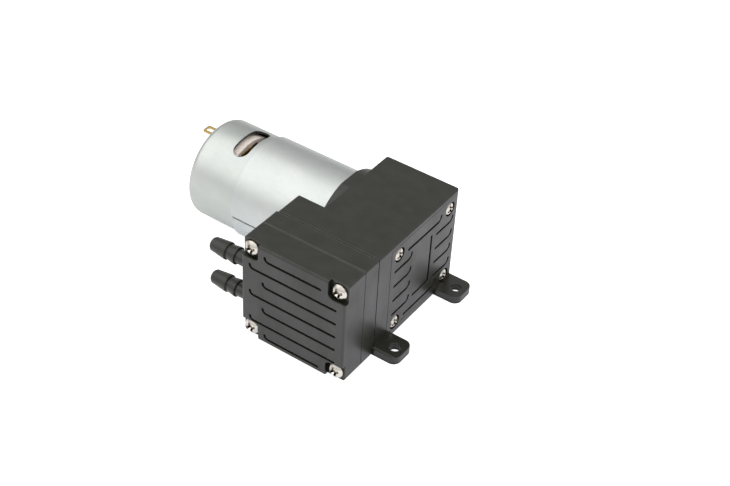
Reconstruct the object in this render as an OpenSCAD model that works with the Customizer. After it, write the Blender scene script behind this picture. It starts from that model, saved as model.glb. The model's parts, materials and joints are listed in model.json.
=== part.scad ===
// Mini diaphragm vacuum pump with a brushed DC motor, in millimetres.
// The shaft lies along X with the motor towards -X, the pump head faces -Y and +Z is up.
// The origin is the centre of the two foot holes, on the base plane.

/* [Housing] */
// Height of head and crankcase
body_h = 40; // [39:0.5:44]
// Width of the pump head along X
head_w = 40.5; // [40:0.5:46]
// Distance from the head's middle to the crankcase's motor side
crank_reach = 8.75; // [8.5:0.05:10]
// Depth of the crankcase behind the valve body
case_d = 46.7; // [46.2:0.1:48]
// Depth of the crankcase's wide flange behind the valve body
flange_d = 10.7; // [10.6:0.1:12]
// How far the flange stands back from the side of the head
flange_inset = 0.6; // [0.2:0.1:1]
// Depth of the valve body
valve_d = 7.6; // [7.5:0.1:9]
// Depth of the head cover behind its corner recesses
cover_d = 8.7; // [8:0.1:11]
// Radius of the long outer edges
edge_r = 0.8; // [0.6:0.1:1.6]

/* [Corner recesses and head screws] */
// Side of a corner recess in the head cover
notch_w = 6.7; // [6.4:0.1:7]
// Depth of a corner recess
notch_depth = 1.8; // [1.4:0.1:2.2]
// Radius of a corner recess's inner corner
notch_r = 2; // [1:0.1:3]
// Distance from the head's edges to a head screw
screw_inset = 3.3; // [3.2:0.05:3.5]
// Shank diameter of a head screw
head_screw_d = 2.9; // [2.5:0.1:3]
// Length of a head screw under its head
head_screw_len = 22; // [20:0.5:24]
// Head diameter of a head screw
head_screw_head_d = 5.6; // [5:0.1:5.8]

/* [Grooves] */
// Width of a decorative groove
groove_w = 1; // [0.7:0.05:1.2]
// Depth of a decorative groove
groove_depth = 0.8; // [0.5:0.1:1]
// Spacing of the front grooves
groove_pitch = 5.5; // [5.3:0.1:5.6]
// Radius of a groove's hook
hook_r = 1.9; // [1.2:0.1:2]

/* [Hose barbs] */
// Spacing of the two barbs
barb_pitch = 14; // [13:0.5:15]
// Length of a barb beyond the head
barb_len = 16; // [14:0.5:20]
// Outside diameter of a barb's tube
barb_d = 5; // [4.8:0.1:5.4]
// Diameter over a barb's ridges
barb_ridge_d = 6.2; // [6:0.1:6.8]
// Bore of a barb
barb_bore_d = 3; // [2.4:0.1:3.2]

/* [Feet] */
// Spacing of the two foot holes
foot_pitch = 37.5; // [37:0.5:39]
// Width of a foot
foot_w = 10.1; // [9.5:0.1:11]
// Thickness of a foot
foot_t = 2.8; // [2:0.1:3]
// Distance from the housing's side to the foot holes
foot_reach = 5.6; // [5.4:0.1:7]
// Material of a foot beyond the centre of its hole
foot_nose = 3.8; // [3.6:0.1:5]
// Diameter of a foot hole
foot_hole_d = 3.9; // [3.2:0.1:4.2]
// Radius of a foot's corners
foot_r = 2.8; // [1.5:0.1:3.2]

/* [Crank cover] */
// Width of the crank cover
lid_w = 39.8; // [39:0.1:40.2]
// Distance from the housing's top to the crank cover
lid_rim = 1.6; // [1.4:0.1:1.9]
// Thickness of the crank cover
lid_t = 3; // [2.6:0.1:3.4]
// Height of the crank cover's lower edge
lid_z = 3.1; // [2.8:0.1:3.4]
// Distance from the crank cover's ends to its screws
lid_screw_inset = 4.9; // [4.7:0.1:5]
// Shank diameter of a crank cover screw
lid_screw_d = 2.5; // [2.2:0.1:2.6]
// Head diameter of a crank cover screw
lid_screw_head_d = 5; // [4.6:0.1:5.2]
// Length of a crank cover screw under its head
lid_screw_len = 8; // [6:0.5:9]

/* [Motor] */
// Height of the shaft
shaft_z = 19.3; // [19.1:0.1:20]
// Diameter of the motor can
can_d = 36.4; // [36:0.1:36.6]
// Length of the motor can
can_len = 59; // [58.5:0.1:60]
// Wall of the motor can
can_wall = 1; // [0.8:0.1:1.2]
// Radius of the can's rear edge
can_r = 2.6; // [2:0.1:3.5]
// Outside diameter of the flux ring
ring_d = 37.8; // [37.4:0.1:38]
// Length of the flux ring
ring_len = 38; // [36:0.5:39]
// Width of the slit in the flux ring
ring_slit = 0.8; // [0.5:0.1:1.5]
// Diameter of the boss on the motor's front
boss_d = 13; // [12:0.5:14]
// Length of the boss on the motor's front
boss_len = 3.6; // [3:0.1:3.9]
// Diameter of the motor shaft
shaft_d = 3.175; // [3:0.005:3.2]
// Spacing of the motor's fixing screws
motor_screw_pitch = 25; // [24.5:0.1:25.2]
// Shank diameter of a motor screw
motor_screw_d = 2.9; // [2.5:0.1:3]
// Length of a motor screw under its head
motor_screw_len = 5.4; // [5:0.1:5.4]
// Length of a vent window around the can
vent_len = 16.6; // [15:0.2:17]
// Width of a vent window
vent_w = 6.2; // [5.8:0.1:6.6]
// Distance of the vent windows from the can's rear
vent_rear = 15.4; // [15:0.1:15.8]
// Diameter of the armature
armature_d = 23.6; // [22:0.1:24]
// Length of the armature core
armature_len = 26; // [22:1:27]
// Diameter of the commutator
commutator_d = 8.4; // [8:0.1:9]
// Length of the commutator
commutator_len = 10; // [9:0.5:11]
// Length of the magnets
magnet_len = 31; // [27:1:32]
// Air gap between armature and magnets
air_gap = 0.6; // [0.4:0.05:0.8]

/* [Terminals] */
// Width of a terminal tab
terminal_w = 3.8; // [2.8:0.1:4]
// Thickness of a terminal tab
terminal_t = 0.5; // [0.4:0.1:0.8]
// Length of a terminal behind the can
terminal_len = 5.4; // [5:0.1:7]
// Distance of a terminal from the shaft
terminal_r = 13.9; // [13.2:0.1:14.1]

/* [Collar] */
// Outside diameter of the collar that holds the motor
collar_d = 42.2; // [41.4:0.1:43]
// Length of the collar beyond the crankcase
collar_len = 3.4; // [2.6:0.1:4]
// Depth of the motor's seat in the collar
seat_depth = 3; // [2.6:0.1:3.6]
// Thickness of the wall that carries the motor
motor_wall = 4; // [3.9:0.1:4.4]

/* [Drive] */
// Throw of the eccentric
crank_throw = 2; // [1.5:0.1:2.1]
// Inside diameter of the rod bearing
bearing_id = 10; // [9.6:0.1:10.2]
// Outside diameter of the rod bearing
bearing_od = 19; // [18.8:0.1:19.2]
// Width of the rod bearing
bearing_w = 5; // [4:0.1:5.2]
// Diameter of a bearing ball
ball_d = 2.4; // [2:0.1:2.6]
// Number of bearing balls
ball_count = 11; // [8:1:12]
// Radial wall of the rod's big end
rod_wall = 2.1; // [1.6:0.1:2.3]
// Width of the rod's stem
stem_w = 9; // [7:0.5:11]
// Radius of the counterweight
weight_r = 13.4; // [11:0.1:13.8]
// Thickness of the counterweight
weight_t = 6; // [4:0.5:6.5]
// Diameter of the eccentric's hub
hub_d = 10; // [9:0.5:11]

/* [Diaphragm] */
// Diameter of the diaphragm
diaphragm_d = 34; // [32:0.5:34.5]
// Thickness of the diaphragm
diaphragm_t = 1; // [0.8:0.1:1.2]
// Diameter of the pump chamber
chamber_d = 27; // [25:0.5:28]
// Diameter of the clamp plate
plate_d = 18; // [16:0.5:19]
// Thickness of the clamp plate
plate_t = 1.6; // [1.2:0.1:1.8]
// Shank diameter of the clamp screw
clamp_screw_d = 2.9; // [2.5:0.1:3]
// Length of the clamp screw
clamp_screw_len = 9; // [8:0.5:10]

/* [Valves] */
// Diameter of a valve disc
disc_d = 7; // [6.4:0.1:7.4]
// Thickness of a valve disc
disc_t = 0.8; // [0.6:0.1:0.9]
// Travel of a valve disc
disc_lift = 0.7; // [0.5:0.1:0.8]
// Diameter of the circle of port holes
port_circle_d = 4; // [3.8:0.1:4.2]
// Diameter of a port hole
port_d = 1.4; // [1.2:0.1:1.5]
// Thickness of a valve retainer
retainer_t = 0.5; // [0.4:0.1:0.6]

/* [Hidden] */

$fn = 64;
eps = 0.05;
// Clearance of a screw or pin in its hole, and of a piece in its seat
fit_gap = 0.05;
// Radial clearance of a turning shaft or ball
run_gap = 0.03;
// Clearance between faces that don't touch at rest
face_gap = 0.1;
wall = 2.6;
gasket_t = 0.5;

// Places along X
x_face = -foot_reach;
x_head = x_face - head_w;
x_flange = x_head + flange_inset;
x_axis = x_face - head_w / 2;
x_crank = x_axis - crank_reach;
x_collar = x_crank - collar_len;
x_seat = x_collar + seat_depth;
x_wall = x_seat + motor_wall;
x_rear = x_seat - can_len;
x_lid = x_face - lid_t;
x_lid_seat = x_lid - gasket_t;

// Places along Y
y_back = foot_pitch / 2 + foot_w / 2;
y_seam2 = y_back - case_d;
y_corner = y_seam2 + flange_d;
y_shaft = (y_corner + y_back) / 2;
y_seam1 = y_seam2 - valve_d;
y_floor = y_seam1 - cover_d;
y_front = y_floor - notch_depth;
y_pin = y_shaft + crank_throw;
y_barb = (y_front + y_seam1) / 2;
y_lid = y_back - lid_w;
y_lid_mid = (y_lid + y_back) / 2;
lid_h = body_h - lid_z - lid_rim;
z_lid_mid = lid_z + lid_h / 2 - 0.85;
// Distance from the crank cover's lower and upper edges to its screws
lid_screw_low = 2.2;
lid_screw_high = 4.1;
// How deep the crank cover screws' heads are sunk
lid_sink = 1;
// Gap between the crank cover and its recess
lid_gap = 0.15;
// Clearance of the hollow in the flange that the flux ring passes
ring_room = 0.4;

// Crank chamber and diaphragm well
// The chamber leaves 0.4 mm round the motor screws' heads
motor_screw_head_d = 2 * motor_screw_d - 0.4;
chamber_r = (motor_screw_pitch + motor_screw_head_d) / 2 + 0.4;
well_d = diaphragm_d - 6;
well_depth = flange_d - 2.8;
passage_h = bearing_od + 2 * rod_wall + 0.8;

// Head layout
front_wall = 2.6;
y_plenum = y_front + front_wall;
barb_z = [shaft_z + barb_pitch / 2, shaft_z - barb_pitch / 2];
rib_w = 2.4;
tower = screw_inset + head_screw_d / 2 + 1.9;

// Diaphragm at the bottom of the stroke, where the model rests
sag = crank_throw + 1;
y_membrane = y_seam2 + sag;
y_plate = y_membrane - face_gap - plate_t;
y_rod_face = y_membrane + diaphragm_t + face_gap;
rod_flange_t = 2;

// Valve layout
retainer_screw_d = 1.6;
retainer_head_t = 0.5;
retainer_screw_len = retainer_t + 1.9;
// The chamber leaves 0.3 mm above the retainer's screws at the top of the stroke
chamber_depth = plate_t + crank_throw - 0.9 + retainer_t + retainer_head_t + 0.3;
y_ceiling = y_seam2 - chamber_depth;
disc_play = 0.1;
pocket_depth = disc_t + disc_lift + disc_play;
y_inlet_seat = y_ceiling - pocket_depth;
y_gasket = y_seam1 + gasket_t;
y_outlet_seat = y_gasket + retainer_t + pocket_depth;
valve_z = [barb_z[0], barb_z[1]];
retainer_d = disc_d + 4;
scallop_d = 2.2;

// Motor layout
can_ri = can_d / 2 - can_wall;
plate_thick = 1.6;
x_core = x_seat - plate_thick - 4.4 - armature_len / 2;
x_comm = x_rear + vent_rear;
magnet_ri = armature_d / 2 + air_gap;
card_t = 1.6;
x_card = x_rear + 4.2;
x_shield = x_comm - 1.1;
flag_w = 1.5;
x_flag = x_comm - 0.9 - flag_w;
flag_reach = 4.4;
// Turn of the can's rear end about the shaft, in degrees
motor_turn = 2;
hole_len = 1.4;
box_w = 6;
brush_w = 4.6;
box_wall = 0.5;
box_r0 = commutator_d / 2 + 1.2;
box_r1 = terminal_r - 2.3;
bush_d = 6;
rear_boss_d = 9;
rear_boss_len = 1.8;
x_shaft_rear = x_rear - rear_boss_len + 0.4;
x_hub_end = x_lid_seat - 1.2;
x_journal = x_axis - bearing_w / 2;
x_hub = x_axis + bearing_w / 2 + face_gap;
x_weight = x_hub_end - weight_t;

// Plan and section helpers

// Rectangle from corner a to corner b with one radius for each corner
module corner_rect(a, b, r) {
    difference() {
        translate(a) square(b - a);
        corner_cut([a[0], a[1]], [1, 1], r[0]);
        corner_cut([b[0], a[1]], [-1, 1], r[1]);
        corner_cut([b[0], b[1]], [-1, -1], r[2]);
        corner_cut([a[0], b[1]], [1, -1], r[3]);
    }
}

// What a rounded corner at p loses, with the body on the side that dir points to
module corner_cut(p, dir, r) {
    if (r > 0)
        translate([p[0] + dir[0] * r, p[1] + dir[1] * r])
            difference() {
                translate([dir[0] > 0 ? -r - 1 : 0, dir[1] > 0 ? -r - 1 : 0]) square(r + 1);
                circle(r);
            }
}

// Draws a profile whose axes are X and Z, from y0 back to y1
module along_y(y0, y1) {
    translate([0, y1, 0]) rotate([90, 0, 0]) linear_extrude(y1 - y0) children();
}

// Draws a profile whose axes are Y and Z, from x0 to x1
module along_x(x0, x1) {
    translate([x0, 0, 0]) rotate([90, 0, 90]) linear_extrude(x1 - x0) children();
}

// Round bar along X, centred on y and z
module bar_x(x0, x1, y, z, d) {
    translate([x0, y, z]) rotate([0, 90, 0]) cylinder(h = x1 - x0, d = d);
}

// Round bar along Y, centred on x and z
module bar_y(y0, y1, x, z, d) {
    translate([x, y0, z]) rotate([-90, 0, 0]) cylinder(h = y1 - y0, d = d);
}

// Turned piece about the shaft, from a profile whose axes are radius and X
module turned_x(y = y_shaft, z = shaft_z) {
    translate([0, y, z]) rotate([0, 90, 0]) rotate_extrude() children();
}

// Groove with a hook, from its straight end at (0, 0) running towards +X for len
module j_groove(len, hook = hook_r) {
    translate([0, -groove_w / 2]) square([len, groove_w]);
    translate([len, 0]) circle(d = groove_w, $fn = 24);
    translate([0, hook])
        intersection() {
            difference() {
                circle(hook + groove_w / 2);
                circle(hook - groove_w / 2);
            }
            translate([-hook - groove_w, -hook - groove_w]) square(hook + groove_w);
        }
    translate([-hook, hook]) circle(d = groove_w, $fn = 24);
}

// Screw along +Z with its head above z = 0 and a cross recess
module pan_screw(d, len, head_d, head_h) {
    translate([0, 0, -len]) cylinder(h = len, d = d);
    dome_r = (head_d * head_d / 4 + head_h * head_h) / (2 * head_h) + head_h * 0.35;
    difference() {
        intersection() {
            cylinder(h = head_h, d = head_d);
            translate([0, 0, head_h - dome_r]) sphere(dome_r);
        }
        for (turn = [0, 90])
            rotate([0, 0, turn + 20])
                translate([-head_d * 0.32, -head_d * 0.08, head_h * 0.3])
                    cube([head_d * 0.64, head_d * 0.16, head_h]);
        translate([0, 0, head_h * 0.1]) cylinder(h = head_h, d1 = head_d * 0.16, d2 = head_d * 0.5);
    }
}

// The four head screws' places, as X and Z
head_screw_places = [for (x = [x_head + screw_inset, x_face - screw_inset])
    for (z = [screw_inset, body_h - screw_inset]) [x, z]];

// The four crank cover screws' places, as Y and Z
lid_screw_places = [for (y = [y_lid + lid_screw_inset, y_back - lid_screw_inset])
    for (z = [lid_z + lid_screw_low, lid_z + lid_h - lid_screw_high]) [y, z]];

module head_screw_holes(d, y0, y1) {
    for (p = head_screw_places) bar_y(y0, y1, p[0], p[1], d);
}

module lid_screw_holes(d, x0, x1) {
    for (p = lid_screw_places) bar_x(x0, x1, p[0], p[1], d);
}

// Section of the head, with rounded long edges
module head_section(x_left = x_head) {
    corner_rect([x_left, 0], [x_face, body_h], [edge_r, edge_r, edge_r, edge_r]);
}

// Pump head

// The outline of the two plenums and the rib between them, as X and Z
module plenum_outline() {
    difference() {
        corner_rect([x_head + wall, wall], [x_face - wall, body_h - wall], [1, 1, 1, 1]);
        translate([x_head, shaft_z - rib_w / 2]) square([head_w, rib_w]);
        for (p = head_screw_places)
            translate([p[0] < x_axis ? x_head : x_face - tower, p[1] < shaft_z ? 0 : body_h - tower])
                square(tower);
    }
}

// The post holds the outlet retainer down through the gasket's opening
post_d = 2.6;

module head_cover() {
    color("#3a3b3d")
    difference() {
        union() {
            intersection() {
                along_y(y_front, y_seam1) head_section();
                linear_extrude(body_h)
                    corner_rect([x_head, y_front], [x_face, y_seam1], [edge_r, edge_r, 0, 0]);
                along_x(x_head, x_face)
                    corner_rect([y_front, 0], [y_seam1, body_h], [edge_r, 0, 0, edge_r]);
            }
            for (z = barb_z) barb(z);
        }
        for (z = barb_z)
            bar_x(x_head - barb_len - eps, x_head + wall + 1, y_barb, z, barb_bore_d);
        difference() {
            along_y(y_plenum, y_seam1 + eps) plenum_outline();
            bar_y(y_plenum - 1, y_seam1 + 1, x_axis, valve_z[1], post_d);
        }
        corner_recesses();
        head_screw_holes(head_screw_d + 0.5, y_front - eps, y_seam1 + eps);
        front_grooves();
    }
    color("#3a3b3d") bar_y(y_seam1 - 1, y_gasket, x_axis, valve_z[1], post_d);
}

// Hose barb along -X with two ridges
module barb(z) {
    ro = barb_d / 2;
    rr = barb_ridge_d / 2;
    translate([x_head, y_barb, z]) rotate([0, -90, 0]) rotate_extrude()
        polygon([[0, -1], [ro, -1], [ro, barb_len * 0.325], [rr, barb_len * 0.335],
            [rr, barb_len * 0.37], [ro + 0.1, barb_len * 0.56], [ro + 0.1, barb_len * 0.57],
            [rr, barb_len * 0.58], [rr, barb_len * 0.62], [ro, barb_len * 0.96],
            [ro - 0.5, barb_len], [0, barb_len]]);
}

// Each recess is rounded where it meets the groove field
module corner_recesses() {
    for (p = head_screw_places) {
        side = p[0] < x_axis ? 1 : -1;
        rise = p[1] < shaft_z ? 1 : -1;
        along_y(y_front - eps, y_floor)
            translate([p[0] - side * screw_inset, p[1] - rise * screw_inset])
                mirror([side < 0 ? 1 : 0, 0]) mirror([0, rise < 0 ? 1 : 0])
                    corner_rect([-1, -1], [notch_w, notch_w], [0, 0, notch_r, 0]);
    }
}

// Seven grooves, the long ones between the short ones
module front_grooves() {
    hook_x = [x_head + 8.6, x_head + 3.4];
    end_x = x_face - 3.6;
    hook = hook_r - 0.5;
    for (i = [0 : 6]) {
        z = shaft_z - 0.7 + (3 - i) * groove_pitch;
        outer = i == 0 || i == 6;
        x0 = (i % 2 == 0 ? hook_x[0] : hook_x[1]) + (outer ? 0.8 : 0) + hook;
        x1 = outer ? x_face - notch_w - 3 : end_x;
        along_y(y_front - eps, y_front + groove_depth) translate([x0, z]) j_groove(x1 - x0, hook);
    }
}

module head_screws() {
    color("#c9c6bd")
    for (p = head_screw_places)
        translate([p[0], y_floor, p[1]]) rotate([90, 0, 0])
            pan_screw(head_screw_d, head_screw_len, head_screw_head_d, 1.9);
}

module head_gasket() {
    color("#7d1f1a")
    along_y(y_seam1 + face_gap / 2, y_gasket) gasket_outline(fit_gap);
}

// Outline of the head gasket, as X and Z, shrunk by g
module gasket_outline(g) {
    difference() {
        corner_rect([x_head + 1.2 + g, 1.2 + g], [x_face - 1.2 - g, body_h - 1.2 - g], [1, 1, 1, 1]);
        if (g > 0) {
            plenum_outline();
            for (p = head_screw_places) translate(p) circle(d = head_screw_d + 0.6);
        }
    }
}

module valve_body() {
    color("#2f3032")
    difference() {
        along_y(y_seam1, y_seam2) head_section();
        along_y(y_seam1 - eps, y_gasket) gasket_outline(0);
        head_screw_holes(head_screw_d + 0.5, y_seam1 - eps, y_seam2 + eps);
        seam_groove(y_seam1 - eps, y_seam1 + 0.2);
        seam_groove(y_seam2 - 0.35, y_seam2 + eps);
        bar_y(y_ceiling, y_seam2 + eps, x_axis, shaft_z, chamber_d);
        inlet_port(valve_z[0]);
        outlet_port(valve_z[1]);
        for (p = retainer_screw_places)
            bar_y(y_ceiling - retainer_screw_len, y_ceiling + eps, p[0], p[1], retainer_screw_d);
    }
}

// Shallow step all round the valve body at a seam
module seam_groove(y0, y1) {
    along_y(y0, y1) difference() {
        translate([x_head - 1, -1]) square([head_w + 2, body_h + 2]);
        corner_rect([x_head + seam_step, seam_step], [x_face - seam_step, body_h - seam_step],
            [edge_r, edge_r, edge_r, edge_r]);
    }
}

// Depth of the step at a seam
seam_step = 0.3;

// Disc pocket in the chamber's ceiling, fed from the inlet plenum
module inlet_port(z) {
    bar_y(y_inlet_seat, y_ceiling + eps, x_axis, z, disc_d + 0.6);
    flow_scallops(y_inlet_seat, y_ceiling + eps, z);
    port_holes(y_gasket - eps, y_inlet_seat + eps, z);
}

// Disc pocket on the plenum side, fed from the chamber
module outlet_port(z) {
    bar_y(y_gasket - eps, y_outlet_seat, x_axis, z, disc_d + 0.6);
    bar_y(y_gasket - eps, y_gasket + retainer_t, x_axis, z, retainer_d);
    flow_scallops(y_gasket - eps, y_outlet_seat, z);
    port_holes(y_outlet_seat - eps, y_ceiling + eps, z);
}

// Four port holes that a disc covers when it is on its seat
module port_holes(y0, y1, z) {
    for (a = [45 : 90 : 315])
        bar_y(y0, y1, x_axis + port_circle_d / 2 * cos(a), z + port_circle_d / 2 * sin(a), port_d);
}

// Four openings on a disc's edge that let the gas past it when it is lifted
module flow_scallops(y0, y1, z) {
    r = disc_d / 2 + 0.2;
    for (a = [0 : 90 : 270]) bar_y(y0, y1, x_axis + r * cos(a), z + r * sin(a), scallop_d);
}

module outlet_retainer() {
    color("#b9bcc0")
    difference() {
        bar_y(y_gasket, y_gasket + retainer_t, x_axis, valve_z[1], retainer_d - 2 * fit_gap);
        flow_scallops(y_gasket - 1, y_gasket + 1, valve_z[1]);
    }
}

retainer_screw_places = [[x_axis - 7.4, shaft_z], [x_axis + 7.4, shaft_z]];

// Thin plate under the chamber's ceiling that keeps the inlet disc in its pocket
module inlet_retainer() {
    color("#b9bcc0")
    difference() {
        bar_y(y_ceiling, y_ceiling + retainer_t, x_axis, shaft_z, chamber_d - 1);
        flow_scallops(y_ceiling - 1, y_ceiling + 1, valve_z[0]);
        bar_y(y_ceiling - 1, y_ceiling + 1, x_axis, valve_z[1], disc_d - 1);
        for (p = retainer_screw_places)
            bar_y(y_ceiling - 1, y_ceiling + 1, p[0], p[1], retainer_screw_d + 0.2);
    }
}

module retainer_screws() {
    color("#c9c6bd")
    for (p = retainer_screw_places)
        translate([p[0], y_ceiling + retainer_t, p[1]]) rotate([-90, 0, 0]) {
            translate([0, 0, -retainer_screw_len])
                cylinder(h = retainer_screw_len, d = retainer_screw_d - 2 * fit_gap);
            cylinder(h = retainer_head_t, d = 2 * retainer_screw_d - 0.2);
        }
}

module inlet_valve_disc() {
    color("#1c1c1e")
    bar_y(y_inlet_seat + disc_play / 2, y_inlet_seat + disc_play / 2 + disc_t, x_axis, valve_z[0], disc_d);
}

module outlet_valve_disc() {
    color("#1c1c1e")
    bar_y(y_outlet_seat - disc_play / 2 - disc_t, y_outlet_seat - disc_play / 2, x_axis, valve_z[1], disc_d);
}

// Diaphragm drive

// Rubber membrane: a flat rim, one rolled wave and a flat middle that is clamped to the rod
module diaphragm() {
    r_rim = chamber_d / 2;
    r_mid = plate_d / 2 + 0.5;
    steps = 8;
    wave = [for (i = [0 : steps])
        [r_mid + (r_rim - r_mid) * i / steps, sag * (1 + cos(180 * i / steps)) / 2]];
    color("#26262a")
    translate([x_axis, y_seam2, shaft_z]) rotate([-90, 0, 0]) rotate_extrude()
        polygon(concat([[clamp_screw_d / 2 + fit_gap, sag]], wave, [[diaphragm_d / 2, 0],
            [diaphragm_d / 2, diaphragm_t]],
            [for (i = [steps : -1 : 0]) [wave[i][0], wave[i][1] + diaphragm_t]],
            [[clamp_screw_d / 2 + fit_gap, sag + diaphragm_t]]));
}

// Depth of the clamp screw's countersunk head
clamp_cone = plate_t - 0.2;

module clamp_plate() {
    color("#b4b7bb")
    translate([x_axis, y_plate, shaft_z]) rotate([-90, 0, 0]) difference() {
        rotate_extrude()
            polygon([[0, 0], [plate_d / 2 - 1, 0], [plate_d / 2, 0.6], [plate_d / 2, plate_t],
                [0, plate_t]]);
        translate([0, 0, -eps]) cylinder(h = plate_t + 1, d = clamp_screw_d + 2 * fit_gap);
        translate([0, 0, -eps])
            cylinder(h = clamp_cone + eps, d1 = 2 * clamp_screw_d, d2 = clamp_screw_d + 2 * fit_gap);
    }
}

module clamp_screw() {
    color("#c9c6bd")
    translate([x_axis, y_plate, shaft_z]) rotate([-90, 0, 0]) difference() {
        union() {
            cylinder(h = clamp_screw_len, d = clamp_screw_d);
            cylinder(h = clamp_cone, d1 = 2 * (clamp_screw_d - fit_gap), d2 = clamp_screw_d);
        }
        for (turn = [0, 90]) rotate([0, 0, turn])
            translate([-clamp_screw_d * 0.42, -clamp_screw_d * 0.09, -eps])
                cube([clamp_screw_d * 0.84, clamp_screw_d * 0.18, clamp_cone * 0.6]);
    }
}

module connecting_rod() {
    ring_r = bearing_od / 2 + rod_wall;
    y_pocket = y_plate + clamp_screw_len + 1.4;
    color("#8f9296")
    difference() {
        union() {
            bar_y(y_rod_face, y_rod_face + rod_flange_t, x_axis, shaft_z, plate_d);
            bar_y(y_rod_face, y_rod_face + 4.5, x_axis, shaft_z, stem_w);
            along_x(x_axis - bearing_w / 2, x_axis + bearing_w / 2) {
                polygon([[y_rod_face + 1, shaft_z - stem_w / 2], [y_rod_face + 5, shaft_z - stem_w / 2],
                    [y_pin, shaft_z - ring_r * 0.75], [y_pin, shaft_z + ring_r * 0.75],
                    [y_rod_face + 5, shaft_z + stem_w / 2], [y_rod_face + 1, shaft_z + stem_w / 2]]);
                translate([y_pin, shaft_z]) circle(ring_r);
            }
        }
        bar_x(x_axis - bearing_w, x_axis + bearing_w, y_pin, shaft_z, bearing_od + 2 * fit_gap);
        bar_y(y_rod_face - eps, y_plate + clamp_screw_len + 0.6, x_axis, shaft_z, clamp_screw_d + 2 * fit_gap);
        for (side = [-1, 1])
            along_x(x_axis + side * bearing_w / 2 - 1.2, x_axis + side * bearing_w / 2 + 1.2)
                polygon([[y_pocket, shaft_z - stem_w / 2 + 1.4],
                    [y_pin - ring_r - 0.4, shaft_z - stem_w / 2 + 0.6],
                    [y_pin - ring_r - 0.4, shaft_z + stem_w / 2 - 0.6],
                    [y_pocket, shaft_z + stem_w / 2 - 1.4]]);
    }
}

race_pitch_r = (bearing_id + bearing_od) / 4;
race_t = (bearing_od - bearing_id) / 2 * 0.28;

module race_groove() {
    translate([x_axis, y_pin, shaft_z]) rotate([0, 90, 0]) rotate_extrude()
        translate([race_pitch_r, 0]) circle(ball_d / 2 + run_gap);
}

module bearing_outer_ring() {
    color("#9fa3a8")
    difference() {
        bar_x(x_axis - bearing_w / 2, x_axis + bearing_w / 2, y_pin, shaft_z, bearing_od);
        bar_x(x_axis - bearing_w, x_axis + bearing_w, y_pin, shaft_z, bearing_od - 2 * race_t);
        race_groove();
    }
}

module bearing_inner_ring() {
    color("#9fa3a8")
    difference() {
        bar_x(x_axis - bearing_w / 2, x_axis + bearing_w / 2, y_pin, shaft_z, bearing_id + 2 * race_t);
        bar_x(x_axis - bearing_w, x_axis + bearing_w, y_pin, shaft_z, bearing_id);
        race_groove();
    }
}

module bearing_balls() {
    color("#d5d8dc")
    for (i = [0 : ball_count - 1])
        translate([x_axis, y_pin, shaft_z]) rotate([360 * i / ball_count, 0, 0])
            translate([0, race_pitch_r, 0]) sphere(d = ball_d, $fn = 32);
}

// Eccentric journal, hub and counterweight in one piece
module eccentric() {
    color("#a58a4a")
    difference() {
        union() {
            bar_x(x_journal, x_hub, y_pin, shaft_z, bearing_id - 2 * fit_gap);
            bar_x(x_hub, x_hub_end, y_shaft, shaft_z, hub_d);
            bar_x(x_hub, x_hub + 0.8, y_pin, shaft_z, bearing_id + 1.6);
            along_x(x_weight, x_hub_end) counterweight_outline();
        }
        bar_x(x_journal - 1, x_hub_end + 1, y_shaft, shaft_z, shaft_d + 2 * fit_gap);
        translate([x_weight + weight_t / 2, y_shaft, shaft_z]) rotate([90, 0, 0])
            cylinder(h = weight_r + 1, d = grub_d + 2 * fit_gap);
    }
}

grub_d = 3;

// Sector opposite the eccentric's throw
module counterweight_outline() {
    translate([y_shaft, shaft_z])
        intersection() {
            circle(weight_r);
            polygon([[0, -3], [-weight_r * 1.2, -weight_r * 0.9], [-weight_r * 1.2, weight_r * 0.9],
                [0, 3]]);
        }
}

module grub_screw() {
    color("#3b3b3f")
    translate([x_weight + weight_t / 2, y_shaft - shaft_d / 2 - fit_gap, shaft_z]) rotate([90, 0, 0])
        difference() {
            cylinder(h = 6, d = grub_d);
            translate([0, 0, 4.6]) cylinder(h = 2, d = 1.7, $fn = 6);
        }
}

// Crankcase

module crankcase() {
    color("#2b2c2e")
    difference() {
        union() {
            intersection() {
                along_y(y_seam2, y_back) case_section();
                linear_extrude(body_h) case_plan();
            }
            along_x(x_collar, x_crank + 1) collar_outline();
            for (y = [-1, 1]) foot(y * foot_pitch / 2);
        }
        bar_x(x_collar - 1, x_seat, y_shaft, shaft_z, ring_d + 2 * fit_gap);
        bar_x(x_flange - 1, x_collar, y_shaft, shaft_z, ring_d + 2 * ring_room);
        bar_x(x_seat - eps, x_wall + eps, y_shaft, shaft_z, boss_d + 4 * fit_gap);
        bar_x(x_wall, x_face + 1, y_shaft, shaft_z, 2 * chamber_r);
        motor_screw_holes(motor_screw_d + 0.3);
        bar_y(y_seam2 - eps, y_seam2 + well_depth, x_axis, shaft_z, well_d);
        bar_y(y_seam2 - eps, y_seam2 + diaphragm_t, x_axis, shaft_z, diaphragm_d + 2 * fit_gap);
        translate([x_wall, y_seam2 + well_depth - eps, shaft_z - passage_h / 2])
            cube([x_lid_seat - x_wall, y_shaft - y_seam2 - well_depth, passage_h]);
        lid_recess();
        head_screw_holes(head_screw_d + 2 * fit_gap, y_seam2 - eps,
            y_floor + head_screw_len + 0.5);
        lid_screw_holes(lid_screw_d + 2 * fit_gap, x_lid - lid_screw_len - 0.5 + lid_sink, x_face);
        lid_screw_holes(lid_screw_head_d + 0.4, x_face - lid_sink, x_face + 1);
        for (y = [-1, 1])
            translate([0, y * foot_pitch / 2, -eps]) cylinder(h = foot_t + 1, d = foot_hole_d);
    }
}

module case_section() {
    corner_rect([x_flange, 0], [x_face, body_h], [edge_r, edge_r, edge_r, edge_r]);
}

// L-shaped plan of the crankcase
module case_plan() {
    corner_rect([x_flange, y_seam2], [x_face, y_corner], [0, 0, 0, edge_r]);
    corner_rect([x_crank, y_corner - 2], [x_face, y_back], [0, 0, edge_r, edge_r]);
}

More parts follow.
